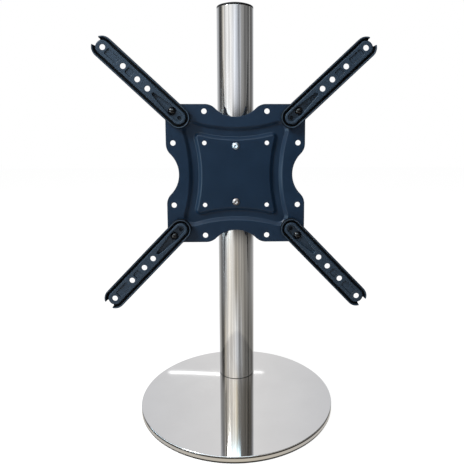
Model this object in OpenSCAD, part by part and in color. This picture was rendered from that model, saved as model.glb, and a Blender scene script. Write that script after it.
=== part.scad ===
// Tabletop screen stand: a round weighted foot, a round steel pole set back on it,
// a pressed bolt plate on the pole and four pressed arms that swing on the plate's corners.
// Millimetres. The origin is the centre of the foot on the table, +Z is up and the
// screen side faces -Y.

/* [Foot] */
// Diameter of the steel cover of the foot
foot_d = 300; // [280:1:360]
// Height of the foot's top above the table
foot_h = 10; // [9:0.5:16]
// Sheet thickness of the cover
cover_t = 1.2; // [0.8:0.1:2]
// Gap between the table and the lower edge of the cover's rim
rim_lift = 1.5; // [1:0.1:2.5]
// Roll of the cover's upper edge
rim_roll = 1.6; // [1:0.1:2.5]
// Gap between the weight's edge and the inside of the cover's rim
weight_gap = 0.4; // [0.2:0.1:1]
// Distance of the rubber ring's outer edge inside the weight's edge
ring_inset = 4.4; // [2:0.1:20]
// Width of the rubber ring
ring_w = 14; // [8:1:30]
// Thickness of the rubber ring
ring_t = 2.4; // [1.6:0.1:3]

/* [Pole] */
// Diameter of the pole
pole_d = 60; // [50:1:63.5]
// Wall of the pole's tube
pole_wall = 1.5; // [1.2:0.1:2.5]
// Height of the pole's top end above the table
pole_top = 627.6; // [600:0.1:800]
// Distance of the pole's axis behind the centre of the foot
pole_back = 75; // [50:1:90]
// Height of the steel plug inside the pole's lower end
plug_h = 40; // [32:1:60]
// Clearance between the plug and the tube round it
plug_gap = 0.1; // [0.05:0.05:0.3]

/* [Pole cap] */
// Height of the cap's rim above the pole's end
cap_rim = 3; // [2:0.5:5]
// Rise of the cap's dome above its rim
cap_rise = 6; // [3:0.5:10]
// Depth of the cap's spigot in the tube
cap_spigot = 18; // [10:1:25]
// Wall of the cap's spigot
cap_wall = 2; // [1.5:0.1:3]

/* [Foot screws] */
// Number of screws through the foot into the plug
foot_screws = 3; // [2:1:4]
// Diameter of the circle that the foot screws stand on
foot_screw_pcd = 34; // [30:1:36]
// Thread diameter of a foot screw
foot_screw_d = 8; // [6:1:8]
// Head diameter of a countersunk foot screw
foot_head_d = 15; // [12:0.5:15.5]
// Height of a foot screw's conical head
foot_head_h = 3.8; // [3:0.1:4.2]
// Length of a foot screw with its head
foot_screw_l = 24; // [20:1:30]
// Socket of a foot screw, across flats
foot_socket = 5; // [4:0.5:5]
// Depth of a foot screw's socket
foot_socket_depth = 2.8; // [2:0.1:3]

/* [Bolt plate] */
// Height of the plate's centre above the table
plate_z = 362.6; // [320:0.1:480]
// Sheet thickness of the plate
plate_t = 2.5; // [2:0.1:3]
// Radius of the corners, round the arm pivots
corner_r = 11.3; // [10:0.1:14]
// Depth of the hollow in each edge
notch_depth = 20; // [12:0.5:24]
// Radius of the hollow in each edge
notch_r = 46; // [35:1:55]
// Radius that rounds each edge into its hollow
shoulder_r = 23; // [12:1:26]
// Depth of the pressed channel
channel_depth = 5; // [3:0.5:6]
// Centres of the roundings at the middle panel's corners, as a share of the way from the
// small pattern's holes to the wide pattern's
panel_share = 0.17; // [0.14:0.01:0.24]
// Centres of the roundings at the channel's outer corners, as a share of the same way
channel_share = 0.38; // [0.34:0.01:0.42]
// Rounding of the middle panel's corners
inner_corner_r = 6; // [5:0.5:8]
// Depth by which the middle panel draws in at the middle of each side
inner_waist = 7.5; // [5:0.1:9]
// Rounding of the channel's outer corners
outer_corner_r = 13; // [10:0.5:15]
// Depth by which the channel's outer edge draws in at the middle of each side
outer_waist = 9.7; // [7:0.1:12]

/* [Bolt patterns] */
// Hole spacing of the small square pattern
pattern_small = 100; // [100:1:100]
// Hole spacing of the wide patterns and of the arm pivots
pattern_wide = 200; // [200:1:200]
// Diameter of the small pattern's holes
small_hole_d = 7; // [5:0.1:8]
// Diameter of the wide patterns' holes
wide_hole_d = 8.5; // [7:0.1:9]

/* [Plate screws] */
// Thread diameter of a plate screw
screw_d = 6; // [5:1:6]
// Diameter of its button head
screw_head_d = 11.5; // [9:0.5:12]
// Height of its button head
screw_head_h = 3.3; // [2.5:0.1:4]
// Socket of the screw, across flats
screw_socket = 4; // [3:0.5:4]
// Depth of the socket
screw_socket_depth = 2.2; // [1.5:0.1:2.2]
// Length of the screw beyond the tapped bar
screw_end = 6; // [2:0.5:10]
// Clearance round the plate screws
screw_gap = 0.3; // [0.2:0.1:0.5]
// Diameter of the saddle spacers between plate and pole
spacer_d = 16; // [13:0.5:20]
// Clearance between a spacer and the wall of the middle panel
spacer_gap = 1.5; // [0.5:0.1:6]
// Width of the tapped bar inside the pole
bar_w = 20; // [14:1:26]
// Thickness of the tapped bar
bar_t = 8; // [6:0.5:10]
// Length of the tapped bar beyond each screw
bar_end = 14; // [10:1:30]
// Clearance between a screw's shank and its tapped hole
thread_gap = 0.05; // [0.02:0.01:0.1]

/* [Arms] */
// Width of an arm
arm_w = 34; // [32:0.5:38]
// Height of an arm's rim above its back
arm_h = 9; // [8:0.5:12]
// Thickness of the rim
rim_t = 2.5; // [2:0.1:3]
// Sheet thickness of the arm's floor and panel
arm_t = 2.2; // [1.8:0.1:2.5]
// Width of the raised panel
panel_w = 22; // [20:0.5:24]
// Height of the raised panel above the arm's back
panel_h = 8; // [6:0.5:9]
// Distance of the small locating hole behind the pivot
heel = 15.3; // [12:0.1:18]
// Diameter of the small locating hole
heel_hole_d = 4; // [3:0.1:5]
// Diameter of the screen fixing holes
arm_hole_d = 8.8; // [8:0.1:9.5]
// Half width of the opening in the rim at the tip
tip_half = 7; // [5:0.5:8]
// Angle of the upper arms above the horizontal
upper_angle = 43; // [0:1:90]
// Angle of the lower arms below the horizontal
lower_angle = 46; // [0:1:90]

/* [Arm recesses] */
// Clearance between the long recess and the head of the pivot bolt in it
head_gap = 0.75; // [0.5:0.05:1]
// Half width of the long recess at the locating hole
recess_heel_r = 6.2; // [5:0.1:6.6]
// Half width of the long recess at its narrow end
recess_tip_r = 2.4; // [1.5:0.1:3]
// Distance of the narrow end's centre from the pivot
recess_tip = 37; // [34:0.5:38]
// Height of the two oblong recesses across the arm
oblong_w = 10; // [6:0.5:11]
// Depth of the two oblong recesses
oblong_depth = 1.6; // [0.8:0.1:2.5]
// Corner radius of the oblong recesses
oblong_r = 1.5; // [1:0.1:3]
// Distance of the oblong recesses from the hole on the inner side
oblong_near = 10; // [9:0.5:11]
// Distance of the oblong recesses from the hole on the outer side
oblong_far = 8; // [7.5:0.1:9]

/* [Pivots] */
// Thread diameter of a pivot bolt
pivot_d = 6; // [5:0.5:6]
// Running clearance between an arm and its pivot bolt
pivot_gap = 0.05; // [0.02:0.01:0.1]
// Diameter of a pivot bolt's domed head
pivot_head_d = 12.5; // [11:0.1:13]
// Height of a pivot bolt's domed head
pivot_head_h = 4.2; // [3:0.1:5]
// Height of the straight edge of the head
pivot_head_edge = 0.8; // [0.4:0.1:1.2]
// Diameter of the plastic washer between arm and plate
washer_d = 15; // [12:0.5:18]
// Thickness of the plastic washer
washer_t = 0.8; // [0.5:0.1:1.2]
// Diameter of the steel washer behind the plate
back_washer_d = 12.5; // [11:0.5:14]
// Thickness of the steel washer behind the plate
back_washer_t = 1.2; // [0.8:0.1:1.6]
// Clearance of the pivot bolt in the plate and the washers
pivot_hole_gap = 0.2; // [0.1:0.05:0.4]
// Width of the lock nut across its flats
nut_flats = 10; // [9.5:0.5:11]
// Height of the lock nut's hexagon
nut_h = 4.2; // [3.5:0.1:5]
// Height of the lock nut's plastic collar
nut_collar_h = 1.8; // [1:0.1:2.5]
// Diameter of the lock nut's plastic collar
nut_collar_d = 9.1; // [8:0.1:9.5]
// Length of thread that shows beyond the nut
thread_end = 1.5; // [0.5:0.5:3]

/* [Hidden] */
// Extra length that carries a cut through a face
over = 1;
// Depth by which a straight side lies inside the circles that it joins
sink = 0.02;
// Round shapes are drawn with this many sides
$fn = 96;

// Corners of the plate: name, side across, side up
CORNERS = [
    ["top_left", -1, 1],
    ["top_right", 1, 1],
    ["bottom_left", -1, -1],
    ["bottom_right", 1, -1]
];

// One set of pivot parts for each corner
function corner_nodes(kind) = [for (c = CORNERS) str(kind, "_", c[0])];

// Foot
foot_r = foot_d / 2;
weight_r = foot_r - cover_t - weight_gap;
weight_low = ring_t;
weight_top = foot_h - cover_t;
ring_r = weight_r - ring_inset;

// Pole
pole_r = pole_d / 2;
pole_inner_r = pole_r - pole_wall;
plug_r = pole_inner_r - plug_gap;
cap_dome_r = (pow(pole_r, 2) + pow(cap_rise, 2)) / (2 * cap_rise);

// Plate: its front face stands off the pole by the pressed channel
press_t = channel_depth + plate_t;
pole_front = pole_back - pole_r;
plate_y = pole_front - press_t;
pivot_at = pattern_wide / 2;
plate_half = pivot_at + corner_r;
pattern_step = (pattern_wide - pattern_small) / 2;
inner_corner = pattern_small / 2 + panel_share * pattern_step;
inner_mid = inner_corner + inner_corner_r - inner_waist;
outer_corner = pattern_small / 2 + channel_share * pattern_step;
outer_mid = outer_corner + outer_corner_r - outer_waist;
notch_centre = plate_half - notch_depth + notch_r;
shoulder_y = plate_half - shoulder_r;
shoulder_x = sqrt(pow(notch_r + shoulder_r, 2) - pow(notch_centre - shoulder_y, 2));
shoulder_share = notch_r / (notch_r + shoulder_r);

// Plate screws, as far apart as the middle panel lets their spacers be, and the tapped
// bar for them against the inside of the tube
screw_rise = inner_mid - plate_t - spacer_gap - spacer_d / 2;
bar_front = pole_back - sqrt(pow(pole_inner_r, 2) - pow(bar_w / 2, 2));
bar_l = 2 * (screw_rise + bar_end);
screw_l = bar_front + bar_t + screw_end - plate_y;

// Arm: fixing holes lie where an arm at 45 degrees meets the square screen patterns
ARM_HOLES = [
    pattern_small / 2,
    pattern_small / sqrt(2),
    pattern_small,
    pattern_small * sqrt(2)
];
arm_r = arm_w / 2;
panel_r = panel_w / 2;
arm_tip = ARM_HOLES[3];
pivot_hole_r = pivot_d / 2 + pivot_gap;
recess_r = pivot_head_d / 2 + head_gap;

// The panel is hollow behind, from just beyond the long recess to the tip
hollow_r = panel_r - arm_t;
hollow_x = recess_tip + recess_tip_r + arm_t + hollow_r;

// Stack of the pivot, measured forwards from the plate's front face
arm_back = washer_t;
head_seat = arm_back + arm_t;
nut_seat = plate_t + back_washer_t;

// Angle at which an arm's outer end points, by corner
function arm_angle(c) = let (rise = c[2] > 0 ? upper_angle : -lower_angle)
    c[1] > 0 ? rise : 180 - rise;

// Puts a shape drawn on the plate's face, with its front towards +Z, onto the plate
module on_plate() {
    translate([0, plate_y, plate_z]) rotate([90, 0, 0]) children();
}

// Puts a pivot part at a corner of the plate, with the front towards +Z
module at_corner(c) {
    on_plate() translate([c[1] * pivot_at, c[2] * pivot_at, 0]) children();
}

// Puts a shape at the pole's axis, with its origin on the table
module at_pole() {
    translate([0, pole_back, 0]) children();
}

// A hexagonal prism, given across its flats
module hexagon(flats, h) {
    cylinder(d = flats / cos(30), h = h, $fn = 6);
}

// A flat bar with round ends between two points of the X axis
module stadium(x0, x1, r) {
    translate([x0, 0]) circle(r = r);
    translate([x1, 0]) circle(r = r);
    translate([x0, -r]) square([x1 - x0, 2 * r]);
}

// Ends of the straight side above the X axis that joins two circles that stand on it.
// It lies a hair inside their common tangent, so that it crosses both circles.
function side_ends(x0, r0, x1, r1) = let (turn = acos((r0 - r1) / (x1 - x0))) [
    [x0 + (r0 - sink) * cos(turn), (r0 - sink) * sin(turn)],
    [x1 + (r1 - sink) * cos(turn), (r1 - sink) * sin(turn)]
];

// A square whose four sides are hollow arcs that run smoothly into round corners
module waisted(mid, corner, r) {
    lean = mid - corner;
    side_r = (pow(lean, 2) + pow(corner, 2) - pow(r, 2)) / (2 * (r - lean));
    turn = asin(corner / (side_r + r));
    far = side_r * sin(turn);
    out = mid + side_r * (1 - cos(turn));
    difference() {
        polygon([
            [far, out], [out, far], [out, -far], [far, -out],
            [-far, -out], [-out, -far], [-out, far], [-far, out]
        ]);
        for (a = [0:90:270]) rotate(a) translate([mid + side_r, 0]) circle(r = side_r, $fn = 360);
    }
    for (x = [-corner, corner], y = [-corner, corner]) translate([x, y]) circle(r = r);
}

// Outer edge of the pressed channel, grown by a wall
module channel_outer(wall) {
    waisted(outer_mid + wall, outer_corner, outer_corner_r + wall);
}

// Edge of the raised middle panel, grown by a wall
module channel_inner(wall) {
    waisted(inner_mid + wall, inner_corner, inner_corner_r + wall);
}

// The hollow cut from the plate's upper edge, with its rounded shoulders
module notch() {
    touch_x = shoulder_x * shoulder_share;
    touch_y = notch_centre - (notch_centre - shoulder_y) * shoulder_share;
    translate([0, notch_centre]) circle(r = notch_r);
    difference() {
        polygon([
            [-shoulder_x, plate_half], [-shoulder_x, plate_half + over],
            [shoulder_x, plate_half + over], [shoulder_x, plate_half],
            [touch_x, touch_y], [-touch_x, touch_y]
        ]);
        for (x = [-shoulder_x, shoulder_x]) translate([x, shoulder_y]) circle(r = shoulder_r);
    }
}

// The plate's outline: a square with round corners and a hollow in each side
module plate_outline() {
    inset = plate_half - corner_r;
    difference() {
        union() {
            square([2 * plate_half, 2 * inset], center = true);
            square([2 * inset, 2 * plate_half], center = true);
            for (x = [-inset, inset], y = [-inset, inset]) translate([x, y]) circle(r = corner_r);
        }
        for (a = [0:90:270]) rotate(a) notch();
    }
}

// Holes of the three screen patterns and of the four pivots
module plate_holes() {
    near = pattern_small / 2;
    for (x = [-near, near], y = [-near, near]) translate([x, y]) circle(d = small_hole_d);
    for (x = [-pivot_at, pivot_at], y = [-near, near]) translate([x, y]) circle(d = wide_hole_d);
    for (x = [-near, near], y = [-pivot_at, pivot_at]) translate([x, y]) circle(d = wide_hole_d);
    for (x = [-pivot_at, pivot_at], y = [-pivot_at, pivot_at]) translate([x, y])
        circle(r = pivot_d / 2 + pivot_hole_gap);
    for (y = [-screw_rise, screw_rise]) translate([0, y]) circle(r = screw_d / 2 + screw_gap);
}

// Places of the foot screws round the pole's axis
module at_foot_screws() {
    at_pole() for (i = [0:foot_screws - 1]) rotate(90 + i * 360 / foot_screws)
        translate([foot_screw_pcd / 2, 0, 0]) children();
}

// A disc between two heights whose upper edge is rolled off
module rolled_disc(r, low, top) {
    translate([0, 0, low]) cylinder(r = r, h = top - rim_roll - low);
    translate([0, 0, top - rim_roll]) cylinder(r1 = r, r2 = r - rim_roll, h = rim_roll);
}

// Cover of the foot: a dished steel sheet with a rolled edge and a turned-down rim
module foot_cover() {
    color("gainsboro") difference() {
        rolled_disc(foot_r, rim_lift, foot_h);
        rolled_disc(foot_r - cover_t, rim_lift - over, weight_top);
        at_foot_screws() cylinder(r = foot_screw_d / 2 + screw_gap, h = foot_h + over);
    }
}

// Steel disc that weighs the foot down, countersunk from below for the foot screws
module foot_weight() {
    color("dimgray") difference() {
        rolled_disc(weight_r, weight_low, weight_top);
        at_foot_screws() {
            cylinder(r = foot_screw_d / 2 + screw_gap, h = foot_h);
            translate([0, 0, weight_low]) cylinder(
                r1 = foot_head_d / 2 + screw_gap,
                r2 = foot_screw_d / 2 + screw_gap,
                h = foot_head_h
            );
        }
    }
}

// Rubber ring that the foot stands on
module foot_ring() {
    color("black") difference() {
        cylinder(r = ring_r, h = ring_t);
        translate([0, 0, -over]) cylinder(r = ring_r - ring_w, h = ring_t + 2 * over);
    }
}

// Countersunk screws that pull the plug and the pole onto the foot
module foot_screws() {
    color("silver") at_foot_screws() translate([0, 0, weight_low]) difference() {
        union() {
            cylinder(r1 = foot_head_d / 2, r2 = foot_screw_d / 2, h = foot_head_h);
            cylinder(d = foot_screw_d, h = foot_screw_l);
        }
        translate([0, 0, -over]) hexagon(foot_socket, foot_socket_depth + over);
    }
}

// Steel plug fixed in the pole's lower end, tapped for the foot screws
module pole_plug() {
    color("gray") difference() {
        at_pole() translate([0, 0, foot_h]) cylinder(r = plug_r, h = plug_h);
        at_foot_screws() cylinder(r = foot_screw_d / 2 + thread_gap, h = weight_low + foot_screw_l + over);
    }
}

// Polished tube, drilled at the front for the plate screws
module pole_tube() {
    color("lightgray") difference() {
        at_pole() translate([0, 0, foot_h]) cylinder(r = pole_r, h = pole_top - foot_h);
        at_pole() cylinder(r = pole_inner_r, h = pole_top + over);
        for (z = [-screw_rise, screw_rise]) translate([0, pole_back, plate_z + z]) rotate([90, 0, 0])
            cylinder(r = screw_d / 2 + screw_gap, h = pole_d);
    }
}

// Plastic cap: a domed lid with a hollow spigot in the tube
module pole_cap() {
    color("black") at_pole() translate([0, 0, pole_top]) {
        cylinder(r = pole_r, h = cap_rim);
        intersection() {
            translate([0, 0, cap_rim + cap_rise - cap_dome_r]) sphere(r = cap_dome_r);
            translate([0, 0, cap_rim]) cylinder(r = pole_r, h = cap_rise + over);
        }
        translate([0, 0, -cap_spigot]) difference() {
            cylinder(r = plug_r, h = cap_spigot);
            translate([0, 0, -over]) cylinder(r = plug_r - cap_wall, h = cap_spigot + over);
        }
    }
}

// Flat steel bar inside the pole, tapped for both plate screws
module nut_bar() {
    color("gray") difference() {
        translate([-bar_w / 2, bar_front, plate_z - bar_l / 2]) cube([bar_w, bar_t, bar_l]);
        for (z = [-screw_rise, screw_rise]) translate([0, bar_front + bar_t + over, plate_z + z])
            rotate([90, 0, 0]) cylinder(r = screw_d / 2 + thread_gap, h = bar_t + 2 * over);
    }
}

// Spacer between the plate's middle panel and the pole, its rear end hollowed to the pole
module spacer(z) {
    color("silver") difference() {
        on_plate() translate([0, z, -plate_t - press_t]) difference() {
            cylinder(d = spacer_d, h = press_t);
            translate([0, 0, -over]) cylinder(r = screw_d / 2 + screw_gap, h = press_t + 2 * over);
        }
        at_pole() cylinder(r = pole_r, h = pole_top);
    }
}

// Button-head screw that holds the plate on the pole
module plate_screw(z) {
    color("silver") on_plate() translate([0, z, 0]) difference() {
        union() {
            intersection() {
                ball_r = (pow(screw_head_d / 2, 2) + pow(screw_head_h, 2)) / (2 * screw_head_h);
                translate([0, 0, screw_head_h - ball_r]) sphere(r = ball_r);
                cylinder(d = screw_head_d, h = screw_head_h + over);
            }
            translate([0, 0, -screw_l]) cylinder(d = screw_d, h = screw_l + screw_head_h / 2);
        }
        translate([0, 0, screw_head_h - screw_socket_depth])
            hexagon(screw_socket, screw_socket_depth + over);
    }
}

// Bolt plate: pressed sheet with a sunken channel round a raised middle panel
module bolt_plate() {
    color("midnightblue") on_plate() difference() {
        union() {
            translate([0, 0, -plate_t]) linear_extrude(plate_t) difference() {
                plate_outline();
                channel_outer(0);
            }
            translate([0, 0, -press_t]) linear_extrude(press_t) difference() {
                channel_outer(plate_t);
                channel_outer(0);
            }
            translate([0, 0, -press_t]) linear_extrude(plate_t) difference() {
                channel_outer(plate_t);
                channel_inner(-plate_t);
            }
            translate([0, 0, -press_t]) linear_extrude(press_t) difference() {
                channel_inner(0);
                channel_inner(-plate_t);
            }
            translate([0, 0, -plate_t]) linear_extrude(plate_t) channel_inner(0);
        }
        translate([0, 0, -press_t - over]) linear_extrude(press_t + 2 * over) plate_holes();
    }
}

// The long recess: three circles on the arm's axis and the straight sides that join them
module long_recess() {
    upper = concat(
        side_ends(-heel, recess_heel_r, 0, recess_r),
        side_ends(0, recess_r, recess_tip, recess_tip_r)
    );
    lower = [for (i = [len(upper) - 1:-1:0]) [upper[i][0], -upper[i][1]]];
    translate([-heel, 0]) circle(r = recess_heel_r);
    circle(r = recess_r);
    translate([recess_tip, 0]) circle(r = recess_tip_r);
    polygon(concat(upper, lower));
}

// The two oblong recesses between the outer holes, grown by a wall
module oblong_recesses(wall) {
    r = oblong_r + wall;
    for (i = [1, 2]) {
        x0 = ARM_HOLES[i] + oblong_near + oblong_r;
        x1 = ARM_HOLES[i + 1] - oblong_far - oblong_r;
        y = oblong_w / 2 - oblong_r;
        for (x = [x0, x1], side = [-y, y]) translate([x, side]) circle(r = r);
        translate([x0 - r, -y]) square([x1 - x0 + 2 * r, 2 * y]);
        translate([x0, -y - r]) square([x1 - x0, 2 * y + 2 * r]);
    }
}

// One arm, pivot at the origin, outer end along +X, back at the bottom
module arm_shape() {
    difference() {
        union() {
            difference() {
                linear_extrude(arm_h) stadium(-heel, arm_tip, arm_r);
                translate([0, 0, arm_t]) linear_extrude(arm_h) stadium(-heel, arm_tip, arm_r - rim_t);
            }
            linear_extrude(panel_h) stadium(-heel, arm_tip, panel_r);
        }
        translate([0, 0, arm_t]) linear_extrude(arm_h) long_recess();
        translate([0, 0, panel_h - oblong_depth]) linear_extrude(arm_h) oblong_recesses(0);
        difference() {
            translate([0, 0, -over]) linear_extrude(panel_h - arm_t + over)
                stadium(hollow_x, arm_tip, hollow_r);
            translate([0, 0, panel_h - oblong_depth - arm_t]) linear_extrude(arm_h)
                oblong_recesses(arm_t);
        }
        translate([0, 0, -over]) linear_extrude(arm_h + 2 * over) {
            for (x = ARM_HOLES) translate([x, 0]) circle(d = arm_hole_d);
            circle(r = pivot_hole_r);
            translate([-heel, 0]) circle(d = heel_hole_d);
            difference() {
                translate([arm_tip, -tip_half]) square([arm_r + over, 2 * tip_half]);
                translate([arm_tip, 0]) circle(r = panel_r);
            }
        }
    }
}

// Arm at one corner of the plate
module arm(c) {
    color("midnightblue") at_corner(c) translate([0, 0, arm_back]) rotate(arm_angle(c)) arm_shape();
}

// Domed bolt that the arm turns on
module pivot_bolt(c) {
    rise = pivot_head_h - pivot_head_edge;
    ball_r = (pow(pivot_head_d / 2, 2) + pow(rise, 2)) / (2 * rise);
    shank = head_seat + nut_seat + nut_h + nut_collar_h + thread_end;
    color("black") at_corner(c) translate([0, 0, head_seat]) {
        cylinder(d = pivot_head_d, h = pivot_head_edge);
        intersection() {
            translate([0, 0, pivot_head_h - ball_r]) sphere(r = ball_r);
            translate([0, 0, pivot_head_edge]) cylinder(d = pivot_head_d, h = rise + over);
        }
        translate([0, 0, -shank]) cylinder(d = pivot_d, h = shank);
    }
}

// A flat washer with the pivot's clearance hole
module washer(d, t) {
    difference() {
        cylinder(d = d, h = t);
        translate([0, 0, -over]) cylinder(r = pivot_d / 2 + pivot_hole_gap, h = t + 2 * over);
    }
}

// Plastic washer that lets the arm turn on the plate
module slip_washer(c) {
    color("ivory") at_corner(c) washer(washer_d, washer_t);
}

// Steel washer behind the plate
module back_washer(c) {
    color("silver") at_corner(c) translate([0, 0, -nut_seat]) washer(back_washer_d, back_washer_t);
}

// Hexagon nut with a plastic locking collar, behind the plate
module lock_nut(c) {
    color("silver") at_corner(c) translate([0, 0, -nut_seat - nut_h - nut_collar_h]) difference() {
        union() {
            translate([0, 0, nut_collar_h]) hexagon(nut_flats, nut_h);
            cylinder(d = nut_collar_d, h = nut_collar_h);
        }
        translate([0, 0, -over])
            cylinder(r = pivot_d / 2 + thread_gap, h = nut_h + nut_collar_h + 2 * over);
    }
}

foot_cover();
foot_weight();
foot_ring();
foot_screws();
pole_plug();
pole_tube();
pole_cap();
nut_bar();
spacer(screw_rise);  // spacer_upper
spacer(-screw_rise);  // spacer_lower
bolt_plate();
plate_screw(screw_rise);  // plate_screw_upper
plate_screw(-screw_rise);  // plate_screw_lower
for (c = CORNERS) {
    arm(c);
    pivot_bolt(c);
    slip_washer(c);
    back_washer(c);
    lock_nut(c);
}
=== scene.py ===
"""A tabletop screen stand: weighted steel foot, polished pole, pressed bolt plate and four swinging arms.
Sizes are in millimetres, as on a maker's drawing, and become metres where a mesh is made."""

from math import asin, atan2, cos, pi, radians, sin, sqrt, tan

import bmesh
import bpy
import numpy as np
from mathutils import Euler, Matrix, Vector, geometry


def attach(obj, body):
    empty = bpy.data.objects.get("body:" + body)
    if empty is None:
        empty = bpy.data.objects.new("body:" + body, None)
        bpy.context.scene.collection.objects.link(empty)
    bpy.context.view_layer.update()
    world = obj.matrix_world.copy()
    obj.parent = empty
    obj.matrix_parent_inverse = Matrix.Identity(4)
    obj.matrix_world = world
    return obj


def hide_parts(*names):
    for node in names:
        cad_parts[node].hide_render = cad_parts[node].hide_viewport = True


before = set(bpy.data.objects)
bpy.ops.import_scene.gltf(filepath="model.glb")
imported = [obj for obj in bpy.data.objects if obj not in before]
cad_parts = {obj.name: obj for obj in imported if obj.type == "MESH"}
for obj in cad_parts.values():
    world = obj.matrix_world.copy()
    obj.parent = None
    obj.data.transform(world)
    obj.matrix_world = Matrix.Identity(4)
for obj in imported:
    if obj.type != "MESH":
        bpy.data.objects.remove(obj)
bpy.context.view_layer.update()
MM = 0.001

# Camera: it stands three quarters of a metre in front of the plate, a little above the plate's
# middle, looks slightly down and keeps the photograph's framing with a small lens shift.
scene = bpy.context.scene
scene.view_settings.view_transform = "Standard"
camera = bpy.data.objects.new("camera", bpy.data.cameras.new("camera"))
scene.collection.objects.link(camera)
camera_at, camera_yaw, camera_pitch, camera_roll = (0, -0.6989, 0.4191), -1.494, 6.767, -0.125
camera.matrix_world = (
    Matrix.Translation(camera_at)
    @ Euler((0, 0, radians(camera_yaw))).to_matrix().to_4x4()
    @ Euler((radians(90 - camera_pitch), 0, 0)).to_matrix().to_4x4()
    @ Euler((0, 0, radians(camera_roll))).to_matrix().to_4x4()
)
camera.data.sensor_width = 36
camera.data.lens = 35.54
camera.data.shift_x = -0.0340
camera.data.shift_y = -0.0838
scene.camera = camera

# Studio: a white table top that keeps the stand's shadow, white air all round, two soft boxes, and
# a drum of light and dark panels and a small lamp that only reflections see. None of it belongs to
# the stand.


def welded(parts):
    """Points and faces of one skin from many parts. Points of different parts that lie within a
    hair of each other become one point, and corners that fall together drop out of their face."""
    hair = 0.0004
    starts = np.cumsum([0] + [len(points) for points, _ in parts[:-1]])
    points = np.concatenate([points for points, _ in parts])
    faces = np.concatenate([faces + start for (_, faces), start in zip(parts, starts)])
    keys = np.round(points / hair).astype(np.int64)
    _, first, index = np.unique(keys, axis=0, return_index=True, return_inverse=True)
    faces = index.reshape(-1)[faces]
    kept = faces != np.roll(faces, 1, axis=1)
    full = kept.sum(axis=1) > 2
    return points[first], faces[full], kept[full]


def skin(name, parts, finish, closed=True):
    """An object whose mesh is made of welded parts given in millimetres. It is shaded smooth but
    for edges that turn by more than crease degrees, and a closed skin faces outwards."""
    crease = 38.0
    points, faces, kept = welded(parts)
    mesh = bpy.data.meshes.new(name)
    mesh.vertices.add(len(points))
    mesh.vertices.foreach_set("co", (points * MM).ravel())
    mesh.loops.add(int(kept.sum()))
    mesh.loops.foreach_set("vertex_index", faces[kept].astype(np.int32))
    mesh.polygons.add(len(faces))
    ends = np.cumsum(kept.sum(axis=1))
    mesh.polygons.foreach_set("loop_start", np.concatenate([[0], ends[:-1]]).astype(np.int32))
    mesh.update(calc_edges=True)
    mesh.validate()
    if closed:
        shell = bmesh.new()
        shell.from_mesh(mesh)
        bmesh.ops.recalc_face_normals(shell, faces=shell.faces)
        shell.to_mesh(mesh)
        shell.free()
    mesh.shade_smooth()
    mesh.set_sharp_from_angle(angle=radians(crease))
    mesh.materials.append(finish.material)
    thing = bpy.data.objects.new(name, mesh)
    scene.collection.objects.link(thing)
    return thing


def band(rows, closed=True):
    """Quads between neighbouring rows of points. Every row has the same number of points, and a
    closed band runs on from the last point of a row to its first."""
    rows = np.asarray(rows, float)
    index = np.arange(rows.shape[0] * rows.shape[1]).reshape(rows.shape[:2])
    if closed:
        index = np.concatenate([index, index[:, :1]], axis=1)
    corners = (index[:-1, :-1], index[:-1, 1:], index[1:, 1:], index[1:, :-1])
    return rows.reshape(-1, 3), np.stack(corners, axis=-1).reshape(-1, 4)


def turned(profile, centre=(0.0, 0.0), segments=192):
    """A profile of radius and height turned about the upright line through centre. The point at
    angle a lies at radius times (cos a, sin a) from that line."""
    angle = np.linspace(0, 2 * pi, segments, endpoint=False)
    radius, height = np.asarray(profile, float).T
    across = centre[0] + np.outer(radius, np.cos(angle))
    along = centre[1] + np.outer(radius, np.sin(angle))
    return band(np.stack([across, along, np.outer(height, np.ones(segments))], axis=-1))


class Socket:
    """A node's output. Arithmetic on it adds Math nodes to its material."""

    def __init__(self, finish, output):
        self.finish, self.output = finish, output

    def math(self, operation, *values):
        return self.finish.node("ShaderNodeMath", {"operation": operation}, dict(enumerate(values)))

    def __add__(self, other):
        return self.math("ADD", self, other)

    def __sub__(self, other):
        return self.math("SUBTRACT", self, other)

    def __rsub__(self, other):
        return self.math("SUBTRACT", other, self)

    def __mul__(self, other):
        return self.math("MULTIPLY", self, other)

    def __truediv__(self, other):
        return self.math("DIVIDE", self, other)

    __radd__, __rmul__ = __add__, __mul__


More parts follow.
